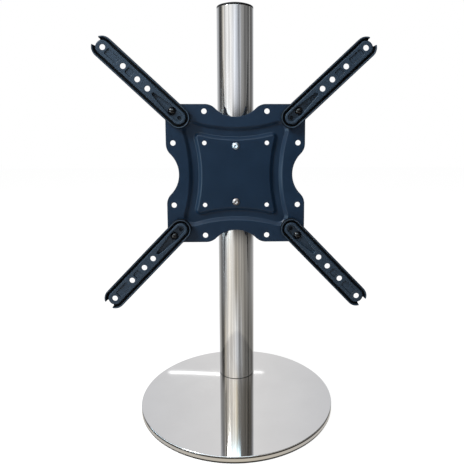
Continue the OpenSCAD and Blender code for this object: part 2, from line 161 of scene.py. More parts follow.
class Finish:
    """A surface finish. Values that are even all over go straight into the shader's sockets, and
    wear(...) links the ones that change over the surface."""

    def __init__(self, name, shader="ShaderNodeBsdfPrincipled", **even):
        self.material = bpy.data.materials.new(name)
        self.material.use_nodes = True
        self.tree = self.material.node_tree
        self.tree.nodes.clear()
        self.sheet = self.tree.nodes.new("ShaderNodeOutputMaterial")
        self.shader = self.tree.nodes.new(shader)
        self.tree.links.new(self.shader.outputs[0], self.sheet.inputs["Surface"])
        for socket, value in even.items():
            self.shader.inputs[self.socket_name(socket)].default_value = value

    def socket_name(self, word):
        """The shader's own name of a socket: base_color is Base Color."""
        return word.replace("_", " ").title().replace("Ior", "IOR")

    def node(self, kind, settings=None, inputs=None, output=0):
        """Adds a node: its settings are set first, then its sockets get their values or links."""
        made = self.tree.nodes.new(kind)
        for name, value in (settings or {}).items():
            setattr(made, name, value)
        for name, value in (inputs or {}).items():
            if isinstance(value, Socket):
                self.tree.links.new(value.output, made.inputs[name])
            else:
                made.inputs[name].default_value = value
        return Socket(self, made.outputs[output])

    def place(self, scale=(1, 1, 1)):
        """Places on the piece, stretched by scale: a small scale draws a pattern out that way."""
        spot = self.node("ShaderNodeTexCoord", output="Object")
        return self.node("ShaderNodeMapping", inputs={"Vector": spot, "Scale": scale})

    def noise(self, size, scale=(1, 1, 1), detail=2.0, rough=0.5):
        """Cloudy noise from 0 to 1 with patches about size millimetres wide."""
        return self.node("ShaderNodeTexNoise", inputs={
            "Vector": self.place(scale), "Scale": 1 / (size * MM), "Detail": detail, "Roughness": rough
        })

    def blend(self, factor, first, second, way="MIX"):
        """A colour that runs from first to second as factor goes from 0 to 1. The way MULTIPLY
        lays the second over the first like a tinted glass."""
        ends = [end if isinstance(end, Socket) else (*end, 1) for end in (first, second)]
        settings = {"data_type": "RGBA", "blend_type": way}
        return self.node("ShaderNodeMix", settings, {0: factor, 6: ends[0], 7: ends[1]}, output=2)

    def ramp(self, value, start, end, most=1.0, way="LINEAR"):
        """0 where value is at start and most where it is at end, whichever of them is higher."""
        inputs = {0: value, 1: start, 2: end, 4: most}
        return self.node("ShaderNodeMapRange", {"interpolation_type": way}, inputs)

    def above(self, level, soft):
        """0 below a height in millimetres, 1 above it, changing over soft."""
        spot = self.node("ShaderNodeTexCoord", output="Object")
        height = self.node("ShaderNodeSeparateXYZ", inputs={0: spot}, output=2)
        return self.ramp(height, (level - soft / 2) * MM, (level + soft / 2) * MM)

    def bump(self, height, depth):
        """A normal for a relief of that height, depth millimetres deep."""
        return self.node("ShaderNodeBump", inputs={"Height": height, "Distance": depth * MM})

    def wear(self, **varying):
        """Links the shader's sockets to values that change over the surface."""
        for socket, value in varying.items():
            self.tree.links.new(value.output, self.shader.inputs[self.socket_name(socket)])
        return self


# To the camera the table glows, so that it stays pure white round the shadow of the stand.
white = (1.0, 1.0, 1.0, 1.0)
table_half, under_foot, glow_power, glow_share = 6000.0, 149.0, 1.12, 0.86
table_finish = Finish("table_white", "ShaderNodeBsdfDiffuse", color=(0.80, 0.80, 0.80, 1))
glow = table_finish.node("ShaderNodeEmission", inputs={"Color": white, "Strength": glow_power})
seen = table_finish.node("ShaderNodeLightPath", output="Is Camera Ray")
spot = table_finish.node("ShaderNodeTexCoord", output="Object")
away = table_finish.node("ShaderNodeVectorMath", {"operation": "LENGTH"}, {0: spot}, output=1)
open_top = away.math("GREATER_THAN", away, under_foot * MM)
joined = table_finish.tree.nodes.new("ShaderNodeMixShader")
table_finish.tree.links.new((seen * open_top * glow_share).output, joined.inputs[0])
table_finish.tree.links.new(table_finish.shader.outputs[0], joined.inputs[1])
table_finish.tree.links.new(glow.output, joined.inputs[2])
table_finish.tree.links.new(joined.outputs[0], table_finish.sheet.inputs["Surface"])
edge = np.array([[-1, -1, 0], [1, -1, 0], [1, 1, 0], [-1, 1, 0]]) * table_half
table = skin("table_top", [(edge, np.array([[0, 1, 2, 3]]))], table_finish, closed=False)
table.visible_glossy = False

drum_r, drum_low, drum_high = 2600.0, -2600.0, 3400.0
room = Finish("drum_panels", "ShaderNodeEmission", strength=1.0)
spot = room.node("ShaderNodeTexCoord", output="Object")
across, along, rise = (
    room.node("ShaderNodeSeparateXYZ", inputs={0: spot}, output=i) for i in range(3)
)
turn = across.math("ARCTAN2", across, 0 - along) / (2 * pi) + 0.5


def panels(stops):
    """Light round the drum: each stop gives an angle from the front, positive to the right, the
    light that comes from there and how warm it is, from -1 for skylight to 1 for a lamp's. The
    first stop lies at the back, at -180, and is also the last one, at 180."""
    stops = [*stops, (180, *stops[0][1:])]
    ramp = room.tree.nodes.new("ShaderNodeValToRGB")
    while len(ramp.color_ramp.elements) < len(stops):
        ramp.color_ramp.elements.new(0.5)
    for element, (angle, light, warmth) in zip(ramp.color_ramp.elements, stops):
        element.position = angle / 360 + 0.5
        element.color = (light * (1 + 0.05 * warmth), light, light * (1 - 0.09 * warmth), 1)
    room.tree.links.new(turn.output, ramp.inputs[0])
    return Socket(room, ramp.outputs[0])


def between(value, low, high, soft):
    """1 where value lies between low and high, falling to 0 over soft on both sides."""
    up = room.ramp(value, low - soft, low, way="SMOOTHSTEP")
    return up * (1 - room.ramp(value, high, high + soft, way="SMOOTHSTEP"))


def patch(low, high, soft, left, right, side_soft=0.02, height=rise):
    """1 between two heights in metres and two angles from the front in degrees. It falls to 0
    over soft metres above and below, and over side_soft of a whole turn to the sides."""
    return between(height, low, high, soft) * between(turn, left / 360 + 0.5, right / 360 + 0.5, side_soft)


# The pole's upper part mirrors the upper ramp and its lower part the lower one. The foot's top
# mirrors the one above where it shows the pole, and the foot's rim mirrors the one below.
upper = panels([
    (-180, 0.92, 0.2), (-150, 0.66, -0.5), (-128, 0.50, -0.5), (-114, 0.10, 0), (-98, 0.05, 0),
    (-88, 0.30, 1), (-80, 0.85, 1), (-69, 0.58, 0), (-57, 1.1, 0), (-30, 1.08, 0), (-4, 1.05, -0.8),
    (8, 0.86, -1.2), (17, 0.55, -1), (23, 0.22, -1), (30, 0.62, -1), (40, 0.34, 0), (54, 0.30, 0),
    (64, 0.15, 0), (78, 0.22, 0), (92, 0.08, 0), (101, 0.36, 0), (112, 0.10, 0), (132, 0.22, 0),
    (150, 0.64, -0.5)
])
lower = panels([
    (-180, 0.92, 0.2), (-145, 0.66, 0), (-128, 0.34, 0), (-108, 0.20, 0), (-86, 0.22, -0.5),
    (-70, 0.50, 0), (-56, 0.85, 1), (-42, 1.0, 1), (-26, 0.80, 0.6), (-8, 0.52, 1.4), (8, 0.44, 1.6),
    (20, 0.45, 1), (38, 0.38, 1), (58, 0.26, 1), (72, 0.25, 0.7), (90, 0.20, 0.5), (112, 0.28, 0.2),
    (138, 0.45, 0)
])
above = panels([
    (-180, 0.92, 0.2), (-150, 0.66, -0.5), (-120, 0.34, -0.5), (-95, 0.32, 0), (-86, 0.85, 0.7),
    (-78, 0.36, 0.7), (-66, 0.62, 0.7), (-56, 1.05, 0.6), (-30, 1.2, 0.6), (-10, 1.15, 1), (-3, 0.9, 2),
    (4, 0.6, 2), (9, 0.36, 1), (22, 0.34, 0.2), (29, 0.2, 0.5), (60, 0.17, 0.7), (100, 0.13, 1),
    (118, 0.15, 0), (150, 0.64, -0.5)
])
below = panels([(-180, 0.60, 1), (-90, 0.62, 1), (0, 0.66, 2), (90, 0.60, 1)])
light = room.blend(room.ramp(rise, -0.5, 0.9), lower, upper)
light = room.blend(room.ramp(rise, -0.68, -1.04, 0.8), light, upper)
light = room.blend(room.ramp(rise, 1.40, 1.50), light, above)
light = room.blend(room.ramp(rise, -1.35, -1.5), light, below)

# Two windows light the bends of the plate and the arms, and the drum's lowest part is dark. Two
# tubes at the back draw the streak across the foot, and a dark card keeps the plate deep blue.
window_light, high_window_light, dark_floor = (3.2, 4.3, 4.9), (3.3, 4.4, 5.0), (0.02, 0.02, 0.02)
light = room.blend(patch(-0.14, 0.46, 0.10, -100, -38), light, window_light)
light = room.blend(patch(2.12, drum_high * MM, 0.06, -60, 20), light, high_window_light)
light = room.blend(room.ramp(rise, -2.2, -2.4), light, dark_floor)
left_tube = patch(1.385, 1.398, 0.004, -180, -169.4, 0.003, rise + turn * 2.0)
right_tube = patch(1.359, 1.366, 0.004, 176.2, 180, 0.003)
dark_card = patch(-0.24, 0.56, 0.12, -17, 120)
power = (1 - dark_card * 0.97) * (1 + (left_tube + right_tube) * 1.8)
room.wear(color=light, strength=power)
drum_wall = turned([(0, drum_low), (drum_r, drum_low), (drum_r, drum_high)], segments=96)
drum = skin("reflection_drum", [drum_wall], room, closed=False)
for ray in ("camera", "diffuse", "shadow"):
    setattr(drum, f"visible_{ray}", False)

ambient_power = 0.22
world = bpy.data.worlds.new("white_air")
scene.world = world
world.use_nodes = True
air = world.node_tree
air.nodes.clear()
path, either = air.nodes.new("ShaderNodeLightPath"), air.nodes.new("ShaderNodeMath")
backdrop, ambient = air.nodes.new("ShaderNodeBackground"), air.nodes.new("ShaderNodeBackground")
backdrop.inputs["Color"].default_value = ambient.inputs["Color"].default_value = white
backdrop.inputs["Strength"].default_value = 1.0
ambient.inputs["Strength"].default_value = ambient_power
either.operation = "MAXIMUM"
air.links.new(path.outputs["Is Camera Ray"], either.inputs[0])
air.links.new(path.outputs["Is Glossy Ray"], either.inputs[1])
seen_air = air.nodes.new("ShaderNodeMixShader")
for i, source in enumerate((either, ambient, backdrop)):
    air.links.new(source.outputs[0], seen_air.inputs[i])
air.links.new(seen_air.outputs[0], air.nodes.new("ShaderNodeOutputWorld").inputs["Surface"])


def lamp(name, at, towards, size, power):
    """A square soft box, its size in metres and its power in watts, turned so that its front faces
    a point. It lights surfaces, and reflections don't show it."""
    light = bpy.data.lights.new(name, "AREA")
    light.shape, light.size, light.energy = "SQUARE", size, power
    holder = bpy.data.objects.new(name, light)
    scene.collection.objects.link(holder)
    holder.location = at
    holder.rotation_euler = (Vector(at) - Vector(towards)).to_track_quat("Z", "Y").to_euler()
    holder.visible_camera = holder.visible_glossy = False
    return holder


lamp("key_soft_box", (-1.75, -1.10, 2.0), (0, 0, 0.35), 0.7, 86)
lamp("top_soft_box", (0.2, -0.4, 2.4), (0, 0, 0.3), 1.2, 14)
glint_lamp = lamp("glint_lamp", (-1.8, -1.1, 2.2), (0, 0, 0.35), 0.8, 42)
glint_lamp.visible_diffuse, glint_lamp.visible_glossy = False, True

# Foot cover: a round stainless sheet, dished by spinning so that its rim turns down all round
# under a fine bead, and polished bright. Its holes for the screws lie under the pole, out of sight,
# and are left out here.
foot_r, foot_h, cover_t, rim_lift = 150.0, 10.0, 1.2, 1.5
cover_roll, cover_lip, cover_bend, flat_hold, roll_hold = 0.7, 0.35, 0.8, 2.0, 0.5
bead_low, groove_low, groove_depth, groove_lean, bead_edge, groove_bend = 8.9, 7.9, 0.45, 0.2, 0.2, 0.1
# How far the painted shade reaches below the groove and above the bead, and above the rim's lowest edge.
shade_reach, shade_fringe, foot_shade = 0.9, 0.1, 1.5


def rounded(corners, radii, steps=6, closed=False, brace=0.0):
    """A line through corners with an arc in each. The arc's centre lies on the bisector, radius
    over the sine of half the inner angle away, so that the arc meets both legs smoothly. A brace
    is one more point on each leg, so that smooth shading leaves long walls straight."""
    corners = np.asarray(corners, float)
    radii = np.broadcast_to(np.asarray(radii, float), len(corners))
    line = []
    for i, (corner, radius) in enumerate(zip(corners, radii)):
        if radius == 0 or (not closed and i in (0, len(corners) - 1)):
            line.append(corner[None])
            continue
        back, ahead = corners[i - 1] - corner, corners[(i + 1) % len(corners)] - corner
        back, ahead = back / np.hypot(*back), ahead / np.hypot(*ahead)
        half = np.arccos(np.clip(back @ ahead, -1, 1)) / 2
        middle = (back + ahead) / np.hypot(*(back + ahead))
        centre = corner + middle * radius / sin(half)
        start, end = corner + back * radius / tan(half), corner + ahead * radius / tan(half)
        first = atan2(*(start - centre)[::-1])
        sweep = (atan2(*(end - centre)[::-1]) - first + pi) % (2 * pi) - pi
        angle = first + sweep * np.linspace(0, 1, steps + 1)
        bend = centre + radius * np.column_stack([np.cos(angle), np.sin(angle)])
        if brace:
            bend = np.concatenate([[bend[0] + back * brace], bend, [bend[-1] + ahead * brace]])
        line.append(bend)
    return np.concatenate(line)


def steel(name, colour, roughness, grain, depth, patch, streaks=0.0, painted_shade=(), painted_warmth_to=0.0):
    """Bright sheet or bar: fine drawn grain in the given direction, and cloudy wear of the sheen.
    Streaks is how much the grain also shades the metal. Each pair of heights in the list after it
    bounds a band painted dark as shade, and the last argument is a height up to which the metal is
    painted yellower, as a painted reflection of warm surroundings."""
    finish = Finish(name, base_color=(*colour, 1), metallic=1.0)
    cloud = finish.noise(patch, detail=3.0)
    lines = finish.noise(1.0, scale=grain, detail=3.0, rough=0.6)
    tone = (cloud - 0.5) * 0.22 + (lines - 0.5) * streaks + 0.72
    shade = finish.blend(tone, [c * 0.6 for c in colour], [min(1, c * 1.12) for c in colour])
    # Painted reflection: the lower part is tinted yellower, as if it mirrored warm surroundings below.
    if painted_warmth_to:
        lower_part = 1 - finish.above(painted_warmth_to * 0.75, painted_warmth_to * 0.5)
        shade = finish.blend(lower_part, shade, (1.0, 0.97, 0.91), "MULTIPLY")
    # Painted shade: each band between the listed heights is painted near black.
    for low, high in painted_shade:
        shade_band = finish.above(low, 0.4) * (1 - finish.above(high, 0.4))
        shade = finish.blend(shade_band * 0.9, shade, (0.02, 0.018, 0.016))
    gloss = roughness * 0.75 + cloud * (roughness * 0.3) + lines * (roughness * 0.2)
    return finish.wear(base_color=shade, roughness=gloss, normal=finish.bump(lines, depth))


# The sheet's colour is painted dark as shade in the groove under the bead and along the rim's lowest edge.
bright_sheet = steel("bright_sheet", (0.725, 0.722, 0.732), 0.035, (0.05, 1.1, 1.1), 0.0008, 60.0,
                     painted_shade=[(groove_low - shade_reach, bead_low + shade_fringe), (0, rim_lift + foot_shade)])
cover_in, flat_r, groove_r = foot_r - cover_t, foot_r - cover_roll - flat_hold, foot_r - groove_depth
cover = skin("foot_cover_sheet", [turned(np.concatenate([
    [(0, foot_h), (flat_r, foot_h)],
    rounded([
        (foot_r - cover_roll - roll_hold, foot_h), (foot_r, foot_h), (foot_r, bead_low),
        (groove_r, bead_low - groove_lean), (groove_r, groove_low + groove_lean), (foot_r, groove_low),
        (foot_r, rim_lift), (cover_in, rim_lift), (cover_in, foot_h - cover_t), (flat_r, foot_h - cover_t)
    ], [0, cover_roll, bead_edge, groove_bend, groove_bend, bead_edge, cover_lip, cover_lip, cover_bend, 0],
        brace=0.04),
    [(0, foot_h - cover_t)],
]), segments=256)], bright_sheet)
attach(cover, "stand")
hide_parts("foot_cover")

# Foot weight: a steel disc inside the cover that keeps the stand upright, blackened against rust
# and countersunk from below where three screws reach up into the pole.
ring_t, weight_r, weight_top = 2.4, 148.4, 8.8
weight_edge, weight_bevel, weight_taper = 0.4, 1.6, 2.0
pole_y, screw_circle_r = 75.0, 17.0
sink_r, sink_h, screw_way_r = 7.8, 3.8, 4.3
screw_places = [
    (screw_circle_r * cos(a), pole_y + screw_circle_r * sin(a)) for a in (pi / 2, pi * 7 / 6, pi * 11 / 6)
]


def arc(centre, radius, start, end, points, whole=False):
    """Points on a circle from one angle to another. Only a whole arc has the last one."""
    angle = np.linspace(start, end, points, endpoint=whole)
    return np.column_stack([centre[0] + radius * np.cos(angle), centre[1] + radius * np.sin(angle)])


def circle(radius, centre=(0.0, 0.0), points=64):
    """Points all round a centre."""
    return arc(centre, radius, 0, 2 * pi, points)


def flat(height, outer, *holes):
    """Triangles that fill the level area at that height inside the loop outer and outside the
    loops of its holes. A triangle is kept if a line from its middle to the right crosses the
    loops an odd number of times."""
    loops = [np.asarray(loop, float)[:, :2] for loop in (outer, *holes)]
    plan = np.concatenate(loops)
    ends = np.cumsum([len(loop) for loop in loops])
    edges = np.concatenate([
        np.column_stack([np.arange(end - len(loop), end), np.roll(np.arange(end - len(loop), end), -1)])
        for loop, end in zip(loops, ends)
    ])
    _, _, faces, source, _, _ = geometry.delaunay_2d_cdt(plan.tolist(), edges.tolist(), [], 0, 1e-5)
    faces = np.array([group[0] for group in source])[np.array(faces)]
    x, y = plan[faces].mean(axis=1).T[:, :, None]
    (ax, ay), (bx, by) = plan[edges[:, 0]].T, plan[edges[:, 1]].T
    spans = (ay > y) != (by > y)
    ahead = x < ax + (bx - ax) * (y - ay) / np.where(ay == by, 1, by - ay)
    faces = faces[(spans & ahead).sum(axis=1) % 2 == 1]
    points = np.column_stack([plan, np.full(len(plan), height)])
    return points, np.column_stack([faces, faces[:, 2]])


def carried(contour, section):
    """Rows that carry a section round a contour: contour(g) is the loop g millimetres away from
    the drawn edge, and the section lists g and height."""
    loops = [np.asarray(contour(g)) for g, _ in section]
    return np.array([np.column_stack([loop, np.full(len(loop), z)]) for loop, (_, z) in zip(loops, section)])


def coat(name, colour, roughness, grain, depth, shine=0.5):
    """Sprayed or moulded colour: a fine grain in the surface, and slow clouds in tone and sheen.
    Shine is the shader's specular level, 0.5 for plain lacquer."""
    finish = Finish(name, base_color=(*colour, 1), specular_ior_level=shine)
    cloud = finish.noise(38.0, detail=2.0)
    skin_grain = finish.noise(grain, detail=2.0)
    shade = finish.blend(cloud, [c * 0.82 for c in colour], [c * 1.18 for c in colour])
    gloss = roughness - 0.05 + cloud * 0.08 + skin_grain * 0.04
    return finish.wear(base_color=shade, roughness=gloss, normal=finish.bump(skin_grain, depth))


primer = coat("black_primer", (0.028, 0.028, 0.030), 0.55, 1.4, 0.02)
sinks = [
    carried(lambda g, spot=spot: circle(screw_way_r + g, spot), [
        (sink_r - screw_way_r, ring_t), (0, ring_t + sink_h), (0, weight_top)
    ]) for spot in screw_places
]
low_r, high_r = weight_r - weight_edge - weight_taper, weight_r - weight_bevel
weight_wall = turned([
    (low_r, ring_t), (weight_r - weight_edge, ring_t), (weight_r, ring_t + weight_edge),
    (weight_r, weight_top - weight_bevel), (high_r, weight_top)
], segments=256)
weight_low, weight_high = circle(low_r, points=256), circle(high_r, points=256)
weight = skin("foot_weight_disc", [
    weight_wall,
    flat(ring_t, weight_low, *[rows[0] for rows in sinks]),
    flat(weight_top, weight_high, *[rows[-1] for rows in sinks]),
    *[band(rows) for rows in sinks],
], primer)
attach(weight, "stand")
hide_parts("foot_weight")

# Foot ring: a moulded rubber ring, glued under the weight's edge and ribbed below so that it
# grips.
ring_r, ring_w, ring_lip, lip_bend, ring_edge = 144.0, 14.0, 0.8, 0.6, 0.4
rib_depth, ribs, ring_in = 0.3, 5, ring_r - ring_w
rubber = coat("moulded_rubber", (0.020, 0.020, 0.021), 0.75, 0.9, 0.03)
rib_share = np.linspace(0, 1, 81)
rib_r = ring_r - ring_lip - (ring_w - 2 * ring_lip) * rib_share
rib_z = rib_depth / 2 * (1 - np.cos(2 * pi * ribs * rib_share))
ring_profile = np.concatenate([
    rounded([(ring_in + ring_lip, 0), (ring_in, 0), (ring_in, ring_t), (ring_r, ring_t), (ring_r, 0),
             (ring_r - ring_lip, 0)], [0, lip_bend, ring_edge, ring_edge, lip_bend, 0], steps=4),
    np.column_stack([rib_r, rib_z])[1:],
])
ring = skin("foot_ring_rubber", [turned(ring_profile)], rubber)
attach(ring, "stand")
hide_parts("foot_ring")

# Foot screws: three zinc plated countersunk screws with hexagon sockets, driven up through the
# weight and the cover into the plug at the bottom of the pole.
zinc = steel("zinc_plate", (0.60, 0.60, 0.59), 0.30, (1, 1, 1), 0.004, 6.0)
row_points, run_in = 96, 0.5
foot_head_r, foot_head_h, foot_screw_r, foot_plain_l, foot_screw_l = 7.5, 3.5, 4.0, 8.0, 24.0
foot_flats, foot_mouth_r, foot_socket_h, foot_pitch, foot_thread_h = 5.0, 3.2, 2.6, 1.25, 0.5
foot_head_edge, foot_neck = 0.3, 0.4


def ring_row(radius, height):
    """One level row round the Z axis. The radius is one number or one for each point."""
    return np.column_stack([circle(radius, points=row_points), np.full(row_points, height)])


def hexagon(flats):
    """Radii of a hexagon for the points of a row: the radius at angle a is half the flats over the
    cosine of a's distance from the middle of its side."""
    angle = np.linspace(0, 2 * pi, row_points, endpoint=False)
    return flats / 2 / np.cos((angle + pi / 6) % (pi / 3) - pi / 6)


def socket_rows(flats, mouth_r, top, floor):
    """Rows of a hexagon socket: a round mouth, a short bevel to the hexagon, its walls, a smaller
    floor and the drill's cone."""
    reach = hexagon(flats)
    bevel_h, ease, cone_h = 0.25, 0.15, 0.3
    return [ring_row(mouth_r, top), ring_row(reach, top - bevel_h), ring_row(reach, floor + ease),
            ring_row(reach * 0.9, floor), ring_row(0, floor - cone_h)]


def threaded(radius, start, end, pitch, depth):
    """Rows of a threaded shank: its radius falls by depth between the turns of a helix that
    rises one pitch a turn, and the last turn runs out in a bevel."""
    end_cut, end_lean = 0.35, 0.9
    angle = np.linspace(0, 2 * pi, row_points, endpoint=False)
    height = np.linspace(start, end, max(4, int(abs(end - start) / pitch * 6)))[:, None]
    phase = (height / pitch - angle / (2 * pi)) % 1
    reach = radius - depth * np.abs(2 * phase - 1)
    reach = np.minimum(reach, radius - depth - end_cut + np.abs(height - end) * end_lean)
    rows = np.stack([reach * np.cos(angle), reach * np.sin(angle), height + 0 * angle], axis=-1)
    return [*rows, rows[-1] * [0, 0, 1]]


rows = [
    row * [1, 1, -1] + [0, 0, 2 * ring_t]
    for row in socket_rows(foot_flats, foot_mouth_r, ring_t, ring_t - foot_socket_h)
][::-1]
rows += [ring_row(r, z) for r, z in rounded([
    (foot_mouth_r, ring_t), (foot_head_r, ring_t), (foot_screw_r, ring_t + foot_head_h),
    (foot_screw_r, ring_t + foot_plain_l)
], [0, foot_head_edge, foot_neck, 0], steps=4)]
thread_low, thread_high = ring_t + foot_plain_l + run_in, ring_t + foot_screw_l
rows += threaded(foot_screw_r, thread_low, thread_high, foot_pitch, foot_thread_h)
points, faces = band(rows)
foot_screws = skin("foot_screw_set", [(points + [*spot, 0], faces) for spot in screw_places], zinc)
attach(foot_screws, "stand")
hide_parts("foot_screws")

# Pole: a polished stainless tube that stands on the foot, over a turned steel plug that the foot
# screws pull down. Drawing and polishing leave long fine lines on it. The plug and the tapped bar
# inside the tube are shown as their solids are.
pole_r, pole_in, pole_top, tube_edge, tube_brace = 30.0, 28.5, 627.6, 0.35, 0.3
seam_below, seam_above, painted_warmth_to = 0.5, 0.8, 180.0
# The pole's colour is painted dark as shade in a thin band where it stands on the foot, and painted yellower
# towards the bottom as a reflection of warm surroundings.
polished_steel = steel("polished_steel", (0.78, 0.775, 0.77), 0.115, (0.5, 0.5, 0.004), 0.03, 90.0,
                       streaks=3.0, painted_shade=[(foot_h - seam_below, foot_h + seam_above)], painted_warmth_to=painted_warmth_to)


def collar(way, radius, low, top, edge, centre=(0.0, 0.0), steps=3, segments=96, brace=0.0):
    """A tube or washer between two radii and two heights, its four edges broken."""
    line = rounded([(way, low), (radius, low), (radius, top), (way, top)], edge, steps, True, brace)
    return turned(np.concatenate([line, line[:1]]), centre, segments)


pole_wall = collar(pole_in, pole_r, foot_h, pole_top, tube_edge, (0, pole_y), 4, 256, tube_brace)
pole = skin("pole_tube_polished", [pole_wall], polished_steel)
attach(pole, "stand")
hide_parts("pole_tube")
plain_steel = steel("plain_steel", (0.50, 0.50, 0.50), 0.38, (1, 1, 0.05), 0.003, 12.0)
for node in ("pole_plug", "nut_bar"):
    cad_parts[node].data.materials.clear()
    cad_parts[node].data.materials.append(plain_steel.material)

# Pole cap: a moulded black plastic lid, slightly domed and flush with the pole. Its hollow spigot
# is pushed into the tube.
cap_rim, cap_rise, spigot, spigot_r, spigot_wall = 3.0, 6.0, 18.0, 28.4, 2.0
cap_brim, cap_lid, cap_seat = 1.2, pole_top - 1.0, pole_top + 0.05
cap_r, spigot_in, spigot_end = pole_r - 0.1, spigot_r - spigot_wall, pole_top - spigot
cap_bends = [0, 1.0, 0.25, 0.1, 0.6, 0.4, 0.5, 0]
cap_ball = (pole_r ** 2 + cap_rise ** 2) / (2 * cap_rise)
dome_r = np.linspace(pole_r - cap_brim, 0, 24)
dome_z = pole_top + cap_rim + cap_rise - cap_ball + np.sqrt(cap_ball ** 2 - dome_r ** 2)
cap_plastic = coat("cap_plastic", (0.004, 0.004, 0.005), 0.30, 0.5, 0.003, shine=0.18)
cap = skin("pole_cap_moulded", [turned(np.concatenate([
    np.column_stack([dome_r, dome_z])[::-1],
    rounded([(dome_r[0], dome_z[0]), (cap_r, pole_top + cap_rim), (cap_r, cap_seat), (spigot_r, cap_seat),
             (spigot_r, spigot_end), (spigot_in, spigot_end), (spigot_in, cap_lid), (0, cap_lid)],
            cap_bends, steps=4),
]), (0, pole_y))], cap_plastic)
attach(cap, "stand")
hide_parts("pole_cap")

# Bolt plate: steel sheet, cut with a hollow in each side, pressed with a sunken channel round a
# raised middle panel, drilled for the screen patterns and powder coated dark blue-black.
plate_y, plate_z, sheet_t, channel_depth, press_t = 37.5, 362.6, 2.5, 5.0, 7.5
pivot_at, corner_r, notch_depth, notch_r, shoulder_r = 100.0, 11.3, 20.0, 46.0, 23.0
outer_corner, outer_r, outer_waist = 69.0, 13.0, 9.7
inner_corner, inner_r, inner_waist = 58.5, 6.0, 7.5
small_at, small_r, wide_r, bolt_way_r, screw_rise, screw_hole_r = 50.0, 3.5, 4.25, 3.2, 45.0, 3.3
cut_edge, hold = 0.45, 0.35


def four_sides(quarter):
    """A loop made of one quarter and its three turns by 90 degrees."""
    turns = [quarter @ np.array([[c, s], [-s, c]]) for c, s in ((1, 0), (0, 1), (-1, 0), (0, -1))]
    return np.concatenate(turns)


def plate_outline(inside):
    """The plate's outline moved inwards: round corners about the pivots, straight edges, and in
    each side a hollow arc with rounded shoulders that touch it where their radii meet."""
    half = pivot_at + corner_r
    notch_y, shoulder_y = half - notch_depth + notch_r, half - shoulder_r
    shoulder_x = sqrt((notch_r + shoulder_r) ** 2 - (notch_y - shoulder_y) ** 2)
    lean = atan2(notch_y - shoulder_y, -shoulder_x)
    return four_sides(np.concatenate([
        arc((pivot_at, pivot_at), corner_r - inside, 0, pi / 2, 24),
        arc((shoulder_x, shoulder_y), shoulder_r - inside, pi / 2, lean, 20),
        arc((0, notch_y), notch_r + inside, lean - pi, -lean, 48),
        arc((-shoulder_x, shoulder_y), shoulder_r - inside, pi - lean, pi / 2, 20),
    ]))


def waisted(corner, radius, waist, outside):
    """A square with round corners whose sides draw in by waist, moved outwards. Each side is an
    arc about a point outside the square and touches both corner arcs."""
    middle = corner + radius - waist
    lean = middle - corner
    side_r = (lean ** 2 + corner ** 2 - radius ** 2) / (2 * (radius - lean))
    turn = asin(corner / (side_r + radius))
    return four_sides(np.concatenate([
        arc((middle + side_r, 0), side_r - outside, pi + turn, pi - turn, 44),
        arc((corner, corner), radius + outside, -turn, pi / 2 + turn, 28),
    ]))


def cut_rim(top, low, round_r=cut_edge):
    """Section of a cut sheet edge between two heights, its g measured into the material."""
    inner = round_r + hold
    return rounded([(inner, top), (0, top), (0, low), (inner, low)], [0, round_r, round_r, 0], steps=4)


def pressed_step(depth, wall, top_r, low_r, at=0.0):
    """Section of a step pressed into sheet, from g = at + half the wall at height 0 down to
    -depth: a rounded brow, a leaning wall and a rounded foot."""
    g0, g1 = at + wall / 2, at - wall / 2
    slope = atan2(depth, wall)
    brow, foot = top_r * tan(slope / 2) + hold, low_r * tan(slope / 2) + hold
    line = [(g0 + brow, 0), (g0, 0), (g1, -depth), (g1 - foot, -depth)]
    return rounded(line, [0, top_r, low_r, 0], steps=7)


def holes(places, radius):
    """Rows of round holes at places through the plate's sheet."""
    rim = cut_rim(0, -sheet_t)
    return [carried(lambda g, spot=spot: circle(radius + g, spot, 48), rim) for spot in places]


def four(x, y):
    """The four places that lie x and y to the sides of the plate's middle."""
    return [(a * x, b * y) for a in (-1, 1) for b in (-1, 1)]


middle_holes = holes(four(small_at, small_at), small_r)
middle_holes += holes([(0, -screw_rise), (0, screw_rise)], screw_hole_r)
edge_holes = holes(four(pivot_at, small_at), wide_r) + holes(four(small_at, pivot_at), wide_r)
edge_holes += holes(four(pivot_at, pivot_at), bolt_way_r)
outline = carried(plate_outline, cut_rim(0, -sheet_t))


def step_rows(corner, radius, waist, section, height=0.0):
    """Rows of a pressed step round a waisted loop, at heights below height."""
    rows = carried(lambda g: waisted(corner, radius, waist, g), section)
    return rows + [0, 0, height]


wall, brow_r, foot_r_in, back_brow_r, back_foot_r = 5.0, 2.7, 2.4, 0.7, 4.5
back_at = sheet_t * tan(atan2(channel_depth, wall) / 2)
front_step = pressed_step(channel_depth, wall, brow_r, foot_r_in)
back_step = pressed_step(channel_depth, wall, back_brow_r, back_foot_r, back_at)
outer_front = step_rows(outer_corner, outer_r, outer_waist, front_step)
inner_front = step_rows(inner_corner, inner_r, inner_waist, front_step * [-1, 1])
outer_back = step_rows(outer_corner, outer_r, outer_waist, back_step, -sheet_t)
inner_back = step_rows(inner_corner, inner_r, inner_waist, back_step * [-1, 1], -sheet_t)
plate_parts = [band(rows) for rows in (outline, *middle_holes, *edge_holes,
                                       outer_front, inner_front, outer_back, inner_back)]
plate_parts += [
    flat(0, outline[0], outer_front[0], *[rows[0] for rows in edge_holes]),
    flat(-channel_depth, outer_front[-1], inner_front[-1]),
    flat(0, inner_front[0], *[rows[0] for rows in middle_holes]),
    flat(-sheet_t, outline[-1], outer_back[0], *[rows[-1] for rows in edge_holes]),
    flat(-press_t, outer_back[-1], inner_back[-1]),
    flat(-sheet_t, inner_back[0], *[rows[-1] for rows in middle_holes]),
]


